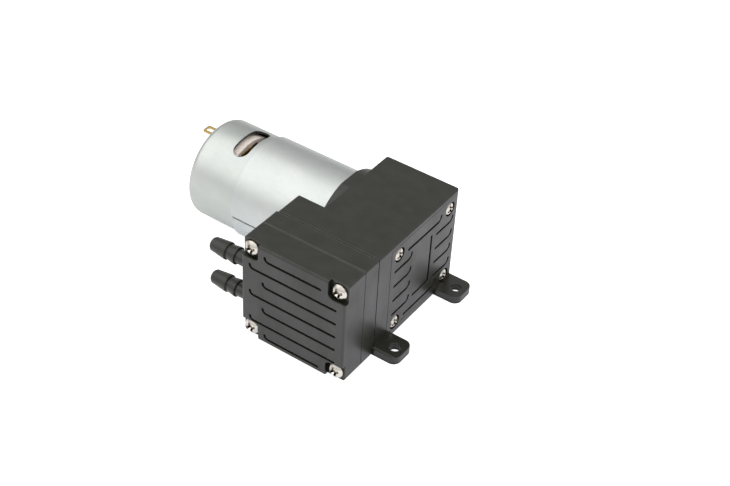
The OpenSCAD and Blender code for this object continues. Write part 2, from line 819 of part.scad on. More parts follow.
// Round collar cut flat at the housing's top and base
module collar_outline() {
    intersection() {
        translate([y_shaft, shaft_z]) circle(d = collar_d);
        translate([y_shaft - collar_d, 0]) square([2 * collar_d, body_h]);
    }
}

module foot(y) {
    linear_extrude(foot_t)
        corner_rect([x_face - 2, y - foot_w / 2], [foot_nose, y + foot_w / 2], [0, foot_r, foot_r, 0]);
}

module motor_screw_holes(d) {
    for (side = [-1, 1])
        bar_x(x_seat - eps, x_wall + eps, y_shaft, shaft_z + side * motor_screw_pitch / 2, d);
}

// Where the crank cover and its gasket sit
module lid_recess() {
    translate([x_lid_seat, y_lid, lid_z])
        cube([lid_t + gasket_t + 1, lid_w + 1, lid_h]);
}

module crank_gasket() {
    color("#4a4236")
    difference() {
        translate([x_lid_seat, y_lid + lid_gap, lid_z + lid_gap])
            cube([gasket_t, lid_w - lid_gap - edge_r, lid_h - 2 * lid_gap]);
        bar_x(x_lid_seat - 1, x_lid + 1, y_shaft, shaft_z, 2 * chamber_r);
        translate([x_lid_seat - 1, y_lid + 3, shaft_z - passage_h / 2])
            cube([3, y_shaft - y_lid - 3, passage_h]);
        lid_screw_holes(lid_screw_d + 0.4, x_lid_seat - 1, x_lid + 1);
        head_screw_holes(head_screw_d + 0.5, y_seam2, y_floor + head_screw_len + 0.5);
    }
}

module crank_cover() {
    color("#333437")
    difference() {
        intersection() {
            translate([x_lid, y_lid + lid_gap, lid_z + lid_gap])
                cube([lid_t, lid_w - lid_gap, lid_h - 2 * lid_gap]);
            linear_extrude(body_h) case_plan();
        }
        lid_screw_holes(lid_screw_d + 0.4, x_lid - 1, x_face + 1);
        lid_screw_holes(lid_screw_head_d + 0.4, x_face - lid_sink, x_face + 1);
        head_screw_holes(head_screw_d + 0.5, y_seam2, y_floor + head_screw_len + 0.5);
        lid_grooves();
    }
}

// Grooves of the crank cover: a long one above and below, two columns of four and an angle between
module lid_grooves() {
    half = lid_w / 2 - 10.3;
    short = 9.4;
    upper = lid_h / 2 - 4.55;
    row_pitch = 6.15;
    low = row_pitch - 15.75;
    along_x(x_face - groove_depth, x_face + eps) translate([y_lid_mid, z_lid_mid]) {
        for (z = [upper, 2.75 - lid_h / 2])
            translate([half - hook_r, z]) mirror([1, 0]) j_groove(2 * half - hook_r);
        for (i = [0 : 3]) for (hook_y = [lid_w / 2 - 2.8, half - 17.2])
            translate([hook_y - hook_r, upper - 4.6 - row_pitch * i]) mirror([1, 0])
                j_groove(short - hook_r);
        angle_groove([4.3, -low], [4.3, low], [-4.8, low]);
    }
}

// Two straight grooves that meet at corner b
module angle_groove(a, b, c) {
    translate([a[0] - groove_w / 2, b[1]]) square([groove_w, a[1] - b[1]]);
    translate([c[0], c[1] - groove_w / 2]) square([b[0] - c[0], groove_w]);
    for (p = [a, b, c]) translate(p) circle(d = groove_w, $fn = 24);
}

module crank_cover_screws() {
    color("#c9c6bd")
    for (p = lid_screw_places)
        translate([x_face - lid_sink, p[0], p[1]]) rotate([0, 90, 0])
            pan_screw(lid_screw_d, lid_screw_len, lid_screw_head_d, 1.5);
}

// Motor

module motor_screws() {
    color("#c9c6bd")
    for (side = [-1, 1])
        translate([x_wall, y_shaft, shaft_z + side * motor_screw_pitch / 2]) rotate([0, 90, 0])
            pan_screw(motor_screw_d, motor_screw_len, motor_screw_head_d, motor_screw_d * 0.62);
}

module motor_can() {
    color("#c4c7c9")
    difference() {
        union() {
            difference() {
                can_shape(x_rear, x_seat, can_d / 2, can_r);
                can_shape(x_rear + can_wall, x_seat + 1, can_ri, can_r - can_wall);
            }
            bar_x(x_rear - rear_boss_len, x_rear + 3.4, y_shaft, shaft_z, rear_boss_d);
        }
        bar_x(x_rear - rear_boss_len - 1, x_rear + 4, y_shaft, shaft_z, bush_d + 2 * fit_gap);
        for (side = [0, 1])
            translate([x_comm, y_shaft, shaft_z]) rotate([motor_turn + 180 * side, 0, 0])
                linear_extrude(can_d) vent_outline();
        for (side = [-1, 1])
            motor_turned() translate([x_rear - 1, y_shaft - terminal_w / 2 - 0.5,
                shaft_z + side * terminal_r - terminal_t / 2 - 0.5])
                cube([3 + can_wall, terminal_w + 1, terminal_t + 1]);
    }
}

// Turns what the can's rear end carries
module motor_turned() {
    translate([0, y_shaft, shaft_z]) rotate([motor_turn, 0, 0]) translate([0, -y_shaft, -shaft_z])
        children();
}

// Drawn cup along X with a rounded rear edge
module can_shape(x0, x1, r, edge) {
    turned_x()
        intersection() {
            corner_rect([-r, x0], [r, x1], [edge, edge, 0, 0]);
            translate([0, x0 - 1]) square([r + 1, x1 - x0 + 2]);
        }
}

// Vent window with round ends, as X and Y
module vent_outline() {
    r = vent_w / 2;
    translate([-r, -vent_len / 2 + r]) square([vent_w, vent_len - vent_w]);
    for (side = [-1, 1]) translate([0, side * (vent_len / 2 - r)]) circle(r);
}

module flux_ring() {
    color("#b9bcbe")
    difference() {
        bar_x(x_seat - 0.4 - ring_len, x_seat - 0.4, y_shaft, shaft_z, ring_d);
        bar_x(x_seat - ring_len - 2, x_seat + 1, y_shaft, shaft_z, can_d + 2 * fit_gap);
        translate([0, y_shaft, shaft_z]) rotate([4.8, 0, 0])
            translate([x_seat - ring_len - 2, -ring_d, -ring_slit / 2])
                cube([ring_len + 4, ring_d, ring_slit]);
    }
}

module front_plate() {
    color("#aeb1b4")
    difference() {
        union() {
            bar_x(x_seat - plate_thick, x_seat, y_shaft, shaft_z, 2 * (can_ri - fit_gap));
            bar_x(x_seat - plate_thick, x_seat + boss_len, y_shaft, shaft_z, boss_d);
        }
        bar_x(x_seat - plate_thick - 1, x_seat + boss_len + 1, y_shaft, shaft_z, bush_d + 2 * fit_gap);
        for (side = [-1, 1])
            bar_x(x_seat - plate_thick - 1, x_seat + 1, y_shaft,
                shaft_z + side * motor_screw_pitch / 2, motor_screw_d + 2 * fit_gap);
    }
}

module bush(x0, x1) {
    difference() {
        bar_x(x0, x1, y_shaft, shaft_z, bush_d);
        bar_x(x0 - 1, x1 + 1, y_shaft, shaft_z, shaft_d + 2 * run_gap);
    }
}

module front_bush() {
    color("#b08d4f") bush(x_seat - plate_thick, x_seat + boss_len);
}

module rear_bush() {
    color("#b08d4f") bush(x_rear - rear_boss_len + 0.3, x_rear + 3.2);
}

module magnets() {
    color("#4b4b4f")
    for (side = [0, 1]) magnet(180 * side);
}

// Half the angle of a magnet, the angle at which the clips between them end, and a length
// beyond the can
magnet_half = 65;
clip_edge = magnet_half + 3;
far = 2 * can_d;

// Arc magnet, centred on +Y when turn is 0
module magnet(turn) {
    translate([0, y_shaft, shaft_z]) rotate([turn, 0, 0])
        along_x(x_core - magnet_len / 2, x_core + magnet_len / 2)
            difference() {
                circle(can_ri - fit_gap);
                circle(magnet_ri);
                polygon([[0, 0], far * [cos(magnet_half), sin(magnet_half)], [-far, far], [-far, -far],
                    far * [cos(magnet_half), -sin(magnet_half)]]);
            }
}

module magnet_clips() {
    color("#8b8f94")
    for (side = [0, 1])
        translate([0, y_shaft, shaft_z]) rotate([180 * side, 0, 0])
            along_x(x_core - magnet_len / 2, x_core + magnet_len / 2)
                difference() {
                    circle(can_ri - fit_gap);
                    circle(can_ri - fit_gap - 1);
                    polygon([[0, 0], far * [cos(clip_edge), sin(clip_edge)], [far, far], [far, -far],
                        [-far, -far], [-far, far], far * [-cos(clip_edge), sin(clip_edge)]]);
                }
}

module motor_shaft() {
    color("#cfd2d6")
    bar_x(x_shaft_rear, x_hub_end - 0.5, y_shaft, shaft_z, shaft_d);
}

slot_count = 5;
slot_pitch_r = armature_d / 2 * 0.66;
slot_r = armature_d / 2 * 0.24;

module armature_core() {
    color("#6f7478")
    along_x(x_core - armature_len / 2, x_core + armature_len / 2)
        translate([y_shaft, shaft_z]) difference() {
            circle(d = armature_d);
            circle(d = shaft_d + 2 * fit_gap);
            for (i = [0 : slot_count - 1]) rotate(360 * i / slot_count) {
                translate([slot_pitch_r, 0]) circle(slot_r);
                translate([slot_pitch_r, -0.9]) square([armature_d, 1.8]);
            }
        }
}

// Coil bundles in the slots, joined by rounded end turns
module armature_winding() {
    end_t = 3.4;
    color("#b4622d")
    union() {
        for (i = [0 : slot_count - 1]) {
            a = 360 * i / slot_count;
            bar_x(x_core - armature_len / 2 - 1, x_core + armature_len / 2 + 1,
                y_shaft + slot_pitch_r * cos(a), shaft_z + slot_pitch_r * sin(a),
                2 * (slot_r - fit_gap));
        }
        for (side = [-1, 1])
            translate([x_core + side * (armature_len / 2 + fit_gap + end_t / 2), y_shaft, shaft_z])
                rotate([0, 90, 0]) rotate_extrude()
                    corner_rect([3, -end_t / 2], [slot_pitch_r + slot_r, end_t / 2], [1, 1.4, 1.4, 1]);
    }
}

commutator_ri = 2.4;

// Five copper segments with slits between them
module commutator() {
    color("#b87333")
    along_x(x_comm - commutator_len / 2, x_comm + commutator_len / 2)
        translate([y_shaft, shaft_z]) difference() {
            circle(d = commutator_d);
            circle(commutator_ri + fit_gap);
            for (i = [0 : slot_count - 1]) rotate(360 * (i + 0.5) / slot_count)
                translate([0, -0.2]) square([commutator_d, 0.4]);
        }
}

module commutator_hub() {
    color("#5a3a28")
    difference() {
        bar_x(x_comm - commutator_len / 2 - 0.6, x_comm + commutator_len / 2 + 0.6, y_shaft, shaft_z,
            2 * commutator_ri);
        bar_x(x_comm - commutator_len, x_comm + commutator_len, y_shaft, shaft_z, shaft_d + 2 * fit_gap);
    }
}

// Diameter of the collars on the shaft
spacer_d = shaft_d + 1.4;

// Collars that keep the armature in place between the bushes
module shaft_spacers() {
    color("#d8d4c8")
    difference() {
        union() {
            bar_x(x_rear + 3.4, x_comm - commutator_len / 2 - 0.6 - fit_gap, y_shaft, shaft_z, spacer_d);
            bar_x(x_core + armature_len / 2 + 3.4 + 2 * fit_gap, x_seat - plate_thick - face_gap,
                y_shaft, shaft_z, spacer_d);
        }
        bar_x(x_rear, x_seat, y_shaft, shaft_z, shaft_d + 2 * fit_gap);
    }
}

// Insulating card with two posts that carry the brush boxes
module brush_card() {
    color("#cfc4ba")
    motor_turned() difference() {
        union() {
            bar_x(x_card, x_card + card_t, y_shaft, shaft_z, 2 * (can_ri - fit_gap));
            for (turn = [0, 180]) translate([0, y_shaft, shaft_z]) rotate([turn, 0, 0])
                along_x(x_card, x_shield) shield_outline();
            for (side = [-1, 1]) translate([0, y_shaft, shaft_z]) rotate([90 + 90 * side, 0, 0])
                translate([x_card, -box_w / 2 - 0.8, box_r0])
                    cube([x_comm - box_w / 2 - fit_gap - x_card, box_w + 1.6, box_r1 - box_r0]);
        }
        bar_x(x_card - 1, x_comm, y_shaft, shaft_z, commutator_d + 1.6);
        for (side = [-1, 1])
            translate([x_card - 1, y_shaft - terminal_w / 2 - fit_gap,
                shaft_z + side * terminal_r - terminal_t / 2 - fit_gap])
                cube([card_t + 2, terminal_w + 2 * fit_gap, terminal_t + 2 * fit_gap]);
    }
}

// Arched wall under a vent window, above the terminal
module shield_outline() {
    intersection() {
        difference() {
            circle(can_ri - 1.2);
            circle(terminal_r + terminal_t / 2 + face_gap);
            translate([-flag_reach - face_gap, 0])
                square([2 * flag_reach + 2 * face_gap, terminal_r + terminal_t / 2 + face_gap]);
        }
        translate([-vent_len / 2 - 1.5, 0]) square([vent_len + 3, can_ri]);
    }
}

// Square brass tubes that guide the brushes
module brush_boxes() {
    color("#c29a4b")
    motor_turned() for (side = [-1, 1])
        translate([x_comm, y_shaft, shaft_z]) rotate([90 + 90 * side, 0, 0])
            translate([0, 0, box_r0]) difference() {
                translate([-box_w / 2, -box_w / 2, 0]) cube([box_w, box_w, box_r1 - box_r0]);
                translate([-box_w / 2 + box_wall, -box_w / 2 + box_wall, -1])
                    cube([box_w - 2 * box_wall, box_w - 2 * box_wall, box_r1 - box_r0 + 1 - box_wall]);
            }
}

brush_len = 4.2;

module brushes() {
    color("#2d2d2d")
    motor_turned() for (side = [-1, 1])
        translate([x_comm, y_shaft, shaft_z]) rotate([90 + 90 * side, 0, 0])
            translate([-brush_w / 2, -brush_w / 2, commutator_d / 2 + face_gap])
                cube([brush_w, brush_w, brush_len]);
}

// Small coil springs that press the brushes on the commutator
module brush_springs() {
    r0 = commutator_d / 2 + face_gap + brush_len + face_gap;
    r1 = box_r1 - box_wall - face_gap;
    coils = 2;
    color("#b8bcc0")
    motor_turned() for (side = [-1, 1])
        translate([x_comm, y_shaft, shaft_z]) rotate([90 + 90 * side, 0, 0])
            translate([0, 0, r0])
                linear_extrude(height = r1 - r0, twist = -360 * coils, slices = 12 * coils, $fn = 6)
                    scale(brush_w / 4.6)
                        polygon([[1.2, -1.4], [1.9, 0], [1.2, 1.4], [0.8, 0.9], [1.3, 0], [0.8, -0.9]]);
}

module terminals() {
    color("#c8a24e")
    for (turn = [0, 180])
        translate([0, y_shaft, shaft_z]) rotate([turn + motor_turn, 0, 0])
            translate([0, 0, terminal_r - terminal_t / 2]) linear_extrude(terminal_t)
                terminal_outline();
}

// Tab with an oval hole behind the can, and a flag beside the brush box, as X and Y
module terminal_outline() {
    tip = x_rear - terminal_len;
    hole_d = terminal_w * 0.45;
    difference() {
        union() {
            corner_rect([tip, -terminal_w / 2], [x_flag + flag_w, terminal_w / 2], [0.8, 0, 0, 0.8]);
            translate([x_flag, -flag_reach]) square([flag_w, flag_reach]);
        }
        translate([x_rear - terminal_len * 0.72, -hole_d / 2]) square([hole_len, hole_d]);
        for (x = [0, hole_len])
            translate([x_rear - terminal_len * 0.72 + x, 0]) circle(d = hole_d, $fn = 24);
    }
}

head_cover();
head_screws();
head_gasket();
valve_body();
outlet_retainer();
inlet_retainer();
retainer_screws();
inlet_valve_disc();
outlet_valve_disc();
diaphragm();
clamp_plate();
clamp_screw();
connecting_rod();
bearing_outer_ring();
bearing_balls();
bearing_inner_ring();
eccentric();
grub_screw();
crankcase();
crank_gasket();
crank_cover();
crank_cover_screws();
motor_screws();
motor_can();
flux_ring();
front_plate();
front_bush();
rear_bush();
magnets();
magnet_clips();
motor_shaft();
armature_core();
armature_winding();
commutator();
commutator_hub();
shaft_spacers();
brush_card();
brush_boxes();
brushes();
brush_springs();
terminals();
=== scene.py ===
"""Looks of a mini vacuum pump: materials for its CAD nodes, floor, light and camera."""

import json
import math

import bpy
from mathutils import Matrix, Vector


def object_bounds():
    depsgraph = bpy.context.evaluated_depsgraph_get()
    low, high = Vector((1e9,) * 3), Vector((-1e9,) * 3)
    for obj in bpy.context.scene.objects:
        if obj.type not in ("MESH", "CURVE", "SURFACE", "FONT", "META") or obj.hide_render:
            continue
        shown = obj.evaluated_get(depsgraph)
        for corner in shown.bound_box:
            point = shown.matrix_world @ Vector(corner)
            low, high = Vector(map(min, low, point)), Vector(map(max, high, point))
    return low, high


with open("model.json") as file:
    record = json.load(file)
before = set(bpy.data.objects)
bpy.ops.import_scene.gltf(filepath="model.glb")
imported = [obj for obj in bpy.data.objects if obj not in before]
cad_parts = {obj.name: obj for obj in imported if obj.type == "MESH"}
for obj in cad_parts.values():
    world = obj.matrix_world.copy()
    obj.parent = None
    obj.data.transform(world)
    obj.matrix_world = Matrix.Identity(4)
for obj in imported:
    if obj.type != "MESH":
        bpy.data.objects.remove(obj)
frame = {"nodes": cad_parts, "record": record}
bounds_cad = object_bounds()
MM = 0.001
WHITE = (1.0, 1.0, 1.0)

# Camera: a view from the right and above, at the photograph's distance; angles in degrees
CAMERA_PLACE = (0.171382, -0.307915, 0.323254)
CAMERA_TURN = 32.688    # from -Y towards +X
CAMERA_RISE = 39.521
CAMERA_ROLL = 3.544
FOCAL_PIXELS = 1415.1
IMAGE_WIDTH = 730
SENSOR = 36.0

# Lamps: name, place, size, power, colour; each looks at the middle of the part
LAMPS = (
    ("key", (0.42, -0.20, 0.78), 0.70, 1.5, (1.0, 0.99, 0.98)),
    ("fill", (-0.42, -0.24, 0.66), 1.00, 1.25, (1.0, 1.0, 0.985)),
)

# Surroundings: brighter in front and on the key lamp's side than at the back, and dimmer low down
BRIGHT_SIDE = (0.42, -0.68, 0.60)
BACK_LEVEL, FRONT_LEVEL = 0.55, 1.08
BACK_END, FRONT_START = -0.25, 0.3    # cosines of the angle to the bright side
LOW_SHARE = 0.60
LOW_END = 0.55    # sine of the height above which nothing is dimmed

# Floor, just under the base; the camera sees its own colour with a glow that makes it white
FLOOR_RADIUS = 3.0
FLOOR_GAP = 0.02 * MM
FLOOR_COLOR = (0.8, 0.8, 0.8)
FLOOR_GLOW = 0.72

# What polished pieces see of the floor: dim beside the motor as a painted shadow, brighter in front
# of the head
FLOOR_DIM, FLOOR_BRIGHT = 0.06, 0.34
FLOOR_DIM_X, FLOOR_BRIGHT_X = -95 * MM, -62 * MM
FLOOR_TINT = (0.93, 0.93, 1.10)

# The motor: its axis, the rear ends of its flux ring and of the can's straight wall, the can's radius
SHAFT_Y, SHAFT_Z = 5.8 * MM, 19.3 * MM
RING_REAR = -73.4 * MM
WALL_REAR = -90.5 * MM
CAN_OUTSIDE = 18.2 * MM

# How deep under the can's outside the painted shade on the walls of its windows starts, and is full
CUT_START, CUT_FULL = 0.05 * MM, 0.3 * MM

# Red, green and blue of the darkest patches in the motor's plating, as shares of its colour
PATCHES = (0.89, 0.915, 0.925)

# The head's two seams, painted on top as pale highlight lines: middle, half width and strength
SEAM_HIGHLIGHTS = ((-30.4 * MM, 0.28 * MM, 0.85), (-23.1 * MM, 0.38 * MM, 0.50))

# How far up a face of plastic looks where the painted highlight on its edges and seams starts, and is
# full
UPWARD_START, UPWARD_FULL = 0.5, 0.9

# Plastic: how it refracts, its sheen deep in grooves, cut down there as painted shade, and on open
# faces, and how streaks vary that
PLASTIC_IOR = 1.6
GROOVE_SHEEN, OPEN_SHEEN = 0.02, 0.5
STREAK_DULL, STREAK_BRIGHT = 0.83, 1.07

# The values between which nearly all of a noise lies
NOISE_LOW, NOISE_HIGH = 0.3, 0.7

# Cosine of the angle between true and softened normal where an edge starts, and is at its full
EDGE_START, EDGE_FULL = 0.985, 0.80

# Share of the open surroundings that reaches the deepest grooves, and that reaches an open face
HOLLOW_SHARE, OPEN_SHARE = 0.42, 0.88

# Rays that softened edges and grooves are worked out from
EDGE_SAMPLES, HOLLOW_SAMPLES = 6, 8

# Places of the colour sockets on a mix node
MIX_SHARE, MIX_FIRST, MIX_SECOND, MIX_RESULT = 0, 6, 7, 2


# Node helpers

def add(tree, kind, **values):
    """Adds a node, sets its attributes and those inputs that are named."""
    node = tree.nodes.new(kind)
    for key, value in values.items():
        if hasattr(node, key):
            setattr(node, key, value)
        else:
            node.inputs[key].default_value = value
    return node


def link(tree, value, entry):
    """Links an output to an input, or gives the input a constant."""
    if isinstance(value, bpy.types.NodeSocket):
        tree.links.new(value, entry)
    else:
        entry.default_value = value


def compute(tree, operation, *values):
    """A maths node on outputs and numbers; returns its result."""
    node = add(tree, "ShaderNodeMath", operation=operation)
    for value, entry in zip(values, node.inputs):
        link(tree, value, entry)
    return node.outputs[0]


def compute_vector(tree, operation, *values, result="Vector"):
    """A vector maths node on outputs and constants; returns its vector or its value."""
    node = add(tree, "ShaderNodeVectorMath", operation=operation)
    for value, entry in zip(values, node.inputs):
        link(tree, value, entry)
    return node.outputs[result]


def axes(tree, vector):
    """Splits a vector into its outputs X, Y and Z."""
    node = add(tree, "ShaderNodeSeparateXYZ")
    link(tree, vector, node.inputs[0])
    return node.outputs


def ramp(tree, value, start, end, low=0.0, high=1.0, smooth=False):
    """Maps a value that goes from start to end to one that goes from low to high."""
    node = add(tree, "ShaderNodeMapRange")
    if smooth:
        node.interpolation_type = "SMOOTHSTEP"
    limits = {"From Min": start, "From Max": end, "To Min": low, "To Max": high}
    for entry, number in limits.items():
        node.inputs[entry].default_value = number
    link(tree, value, node.inputs["Value"])
    return node.outputs["Result"]


def spread(tree, noise, low=0.0, high=1.0):
    """Maps a noise, which stays near 0.5, to the range from low to high."""
    return ramp(tree, noise, NOISE_LOW, NOISE_HIGH, low, high)


def mixed(tree, share, first, second):
    """Mixes two colours: the first where share is 0, the second where it is 1."""
    node = add(tree, "ShaderNodeMix", data_type="RGBA")
    link(tree, share, node.inputs[MIX_SHARE])
    for color, entry in ((first, MIX_FIRST), (second, MIX_SECOND)):
        constant = not isinstance(color, bpy.types.NodeSocket)
        link(tree, (*color, 1) if constant else color, node.inputs[entry])
    return node.outputs[MIX_RESULT]


def scaled(color, factor):
    """A darker or lighter shade of a colour."""
    return [min(1, c * factor) for c in color]


def object_noise(tree, size, detail=3.0, stretch=(1, 1, 1)):
    """Noise with features of about the given size, in the part's own frame."""
    coords = add(tree, "ShaderNodeTexCoord")
    scale = add(tree, "ShaderNodeMapping")
    scale.inputs["Scale"].default_value = [1 / (size * s) for s in stretch]
    noise = add(tree, "ShaderNodeTexNoise", Scale=1.0, Detail=detail)
    link(tree, coords.outputs["Object"], scale.inputs["Vector"])
    link(tree, scale.outputs["Vector"], noise.inputs["Vector"])
    return noise.outputs["Fac"]


def softened_normal(tree, radius):
    """The normal, turned smoothly across sharp edges."""
    soft = add(tree, "ShaderNodeBevel", samples=EDGE_SAMPLES)
    soft.inputs["Radius"].default_value = radius
    return soft.outputs["Normal"]


def edge_mask(tree, radius):
    """1 on sharp edges and 0 on flat faces."""
    flat = add(tree, "ShaderNodeNewGeometry").outputs["True Normal"]
    soft = softened_normal(tree, radius)
    alike = compute_vector(tree, "DOT_PRODUCT", soft, flat, result="Value")
    return ramp(tree, alike, EDGE_START, EDGE_FULL)


def hollow_mask(tree, reach):
    """Near 1 on open faces and near 0 deep in grooves and recesses."""
    node = add(tree, "ShaderNodeAmbientOcclusion", samples=HOLLOW_SAMPLES)
    node.inputs["Distance"].default_value = reach
    return ramp(tree, node.outputs["AO"], HOLLOW_SHARE, OPEN_SHARE, smooth=True)


# Parts of a material

def surface(name, color, roughness, metallic=0.0):
    """Starts a material and returns it with its tree and its shader."""
    mat = bpy.data.materials.new(name)
    mat.use_nodes = True
    tree = mat.node_tree
    shader = tree.nodes["Principled BSDF"]
    shader.inputs["Base Color"].default_value = (*color, 1)
    shader.inputs["Roughness"].default_value = roughness
    shader.inputs["Metallic"].default_value = metallic
    mat.diffuse_color = (*color, 1)
    return mat, tree, shader


def tint(tree, shader, share, first, second):
    """Varies the base colour between two colours."""
    link(tree, mixed(tree, share, first, second), shader.inputs["Base Color"])


def gloss(tree, shader, noise, smoothest, roughest):
    """Varies the roughness with a noise."""
    link(tree, spread(tree, noise, smoothest, roughest), shader.inputs["Roughness"])


def relief(tree, shader, radius, grain, strength, distance):
    """Softens sharp edges in the shading and adds a grain."""
    bump = add(tree, "ShaderNodeBump", Strength=strength, Distance=distance)
    link(tree, grain, bump.inputs["Height"])
    link(tree, softened_normal(tree, radius), bump.inputs["Normal"])
    link(tree, bump.outputs["Normal"], shader.inputs["Normal"])


# Materials

def moulded_plastic(name, color, edge_highlight, roughness=0.34):
    """Moulded plastic: eroded grain, cloudy gloss, grooves dulled as painted shade, and painted
    highlights on edges and seams on top.
    """
    mat, tree, shader = surface(name, color, roughness)
    shader.inputs["IOR"].default_value = PLASTIC_IOR

    # Painted highlight: edges and seams of faces that look up get a pale colour
    highlight_marks = edge_mask(tree, radius=0.28 * MM)
    place = add(tree, "ShaderNodeTexCoord").outputs["Object"]
    along = axes(tree, place)["Y"]
    for middle, half, strength in SEAM_HIGHLIGHTS:
        seam = compute(tree, "COMPARE", along, middle, half)
        line = compute(tree, "MULTIPLY", seam, strength)
        highlight_marks = compute(tree, "MAXIMUM", highlight_marks, line)
    facing = add(tree, "ShaderNodeNewGeometry").outputs["True Normal"]
    upward = ramp(tree, axes(tree, facing)["Z"], UPWARD_START, UPWARD_FULL, smooth=True)
    tint(tree, shader, compute(tree, "MULTIPLY", highlight_marks, upward), color, edge_highlight)

    # Painted shade: the sheen falls off deep in grooves and recesses
    openness = hollow_mask(tree, reach=1.6 * MM)
    shaded_sheen = ramp(tree, openness, 0.0, 1.0, GROOVE_SHEEN, OPEN_SHEEN)
    streaks = object_noise(tree, size=5 * MM, detail=4.0, stretch=(1.2, 1, 4))
    variation = spread(tree, streaks, STREAK_DULL, STREAK_BRIGHT)
    level = compute(tree, "MULTIPLY", shaded_sheen, variation)
    link(tree, level, shader.inputs["Specular IOR Level"])

    gloss(tree, shader, object_noise(tree, size=9 * MM), roughness - 0.05, roughness + 0.07)
    grain = object_noise(tree, size=0.16 * MM)
    relief(tree, shader, 0.30 * MM, grain, strength=0.25, distance=0.03 * MM)
    return mat


def motor_steel(name, can, ring, window_shade):
    """Zinc plated steel: cloudy, different on can and flux ring, and painted dark as shade below the
    can's outside, on the walls of its windows.
    """
    mat, tree, shader = surface(name, can, roughness=0.34, metallic=1.0)
    place = add(tree, "ShaderNodeTexCoord").outputs["Object"]
    along = axes(tree, place)["X"]

    cloud = spread(tree, object_noise(tree, size=8 * MM, detail=5.0, stretch=(1.6, 1, 1)))
    shades = []
    for color in (can, ring):
        patch = [c * share for c, share in zip(color, PATCHES)]
        shades.append(mixed(tree, cloud, patch, color))
    on_ring = compute(tree, "GREATER_THAN", along, RING_REAR)
    plating = mixed(tree, on_ring, *shades)

    off_axis = compute_vector(tree, "SUBTRACT", place, (0, SHAFT_Y, SHAFT_Z))
    across = compute_vector(tree, "MULTIPLY", off_axis, (0, 1, 1))
    radius = compute_vector(tree, "LENGTH", across, result="Value")
    # Painted shade: dark below the can's outside, on window walls and inside the can
    inside = ramp(tree, radius, CAN_OUTSIDE - CUT_START, CAN_OUTSIDE - CUT_FULL, smooth=True)
    in_wall = compute(tree, "GREATER_THAN", along, WALL_REAR)
    tint(tree, shader, compute(tree, "MULTIPLY", inside, in_wall), plating, window_shade)

    gloss(tree, shader, object_noise(tree, size=1.2 * MM), smoothest=0.36, roughest=0.46)
    grain = object_noise(tree, size=0.12 * MM, detail=2.0, stretch=(8, 1, 1))
    relief(tree, shader, 0.15 * MM, grain, strength=0.12, distance=0.01 * MM)
    return mat


def satin_metal(name, color, roughness, stretch):
    """Cast or laminated metal: satin, with a grain and a slow change of gloss."""
    mat, tree, shader = surface(name, color, roughness, metallic=1.0)
    tint(tree, shader, spread(tree, object_noise(tree, size=6 * MM)), scaled(color, 0.93), color)
    gloss(tree, shader, object_noise(tree, size=1.2 * MM), roughness - 0.05, roughness + 0.05)
    grain = object_noise(tree, size=0.12 * MM, detail=2.0, stretch=stretch)
    relief(tree, shader, 0.15 * MM, grain, strength=0.4, distance=0.01 * MM)
    return mat


def bright_metal(name, color, roughness, recess_shade=None):
    """Small turned or stamped metal pieces with fine scratches, and with painted shade in their
    recesses.
    """
    mat, tree, shader = surface(name, color, roughness, metallic=1.0)
    patches = spread(tree, object_noise(tree, size=1.5 * MM))
    shade = mixed(tree, patches, scaled(color, 0.85), color)
    if recess_shade:
        # Painted shade: a dark colour deep in recesses
        shade = mixed(tree, hollow_mask(tree, reach=0.9 * MM), recess_shade, shade)
    link(tree, shade, shader.inputs["Base Color"])
    scratches = object_noise(tree, size=0.1 * MM, detail=2.0, stretch=(1, 6, 1))
    gloss(tree, shader, scratches, roughness - 0.06, roughness + 0.08)
    relief(tree, shader, 0.12 * MM, scratches, strength=0.10, distance=0.01 * MM)
    return mat


def sintered_metal(name, color):
    """Sintered bearing metal: dull, with dark pores."""
    mat, tree, shader = surface(name, color, roughness=0.42, metallic=1.0)
    pores = object_noise(tree, size=0.25 * MM, detail=4.0)
    tint(tree, shader, spread(tree, pores), scaled(color, 0.6), color)
    relief(tree, shader, 0.12 * MM, pores, strength=0.3, distance=0.02 * MM)
    return mat


def pressed_material(name, color, roughness, size):
    """Pressed or laminated material with a fine speckle."""
    mat, tree, shader = surface(name, color, roughness)
    speckle = object_noise(tree, size, detail=4.0)
    tint(tree, shader, spread(tree, speckle), scaled(color, 0.75), scaled(color, 1.2))
    relief(tree, shader, 0.12 * MM, speckle, strength=0.3, distance=0.03 * MM)
    return mat


def soft_rubber(name, color):
    """Smooth rubber with a dusty bloom."""
    mat, tree, shader = surface(name, color, roughness=0.6)
    bloom = [c * 1.6 + 0.01 for c in color]
    tint(tree, shader, spread(tree, object_noise(tree, size=2.5 * MM)), color, bloom)
    grain = object_noise(tree, size=0.3 * MM)
    relief(tree, shader, 0.15 * MM, grain, strength=0.15, distance=0.02 * MM)
    return mat


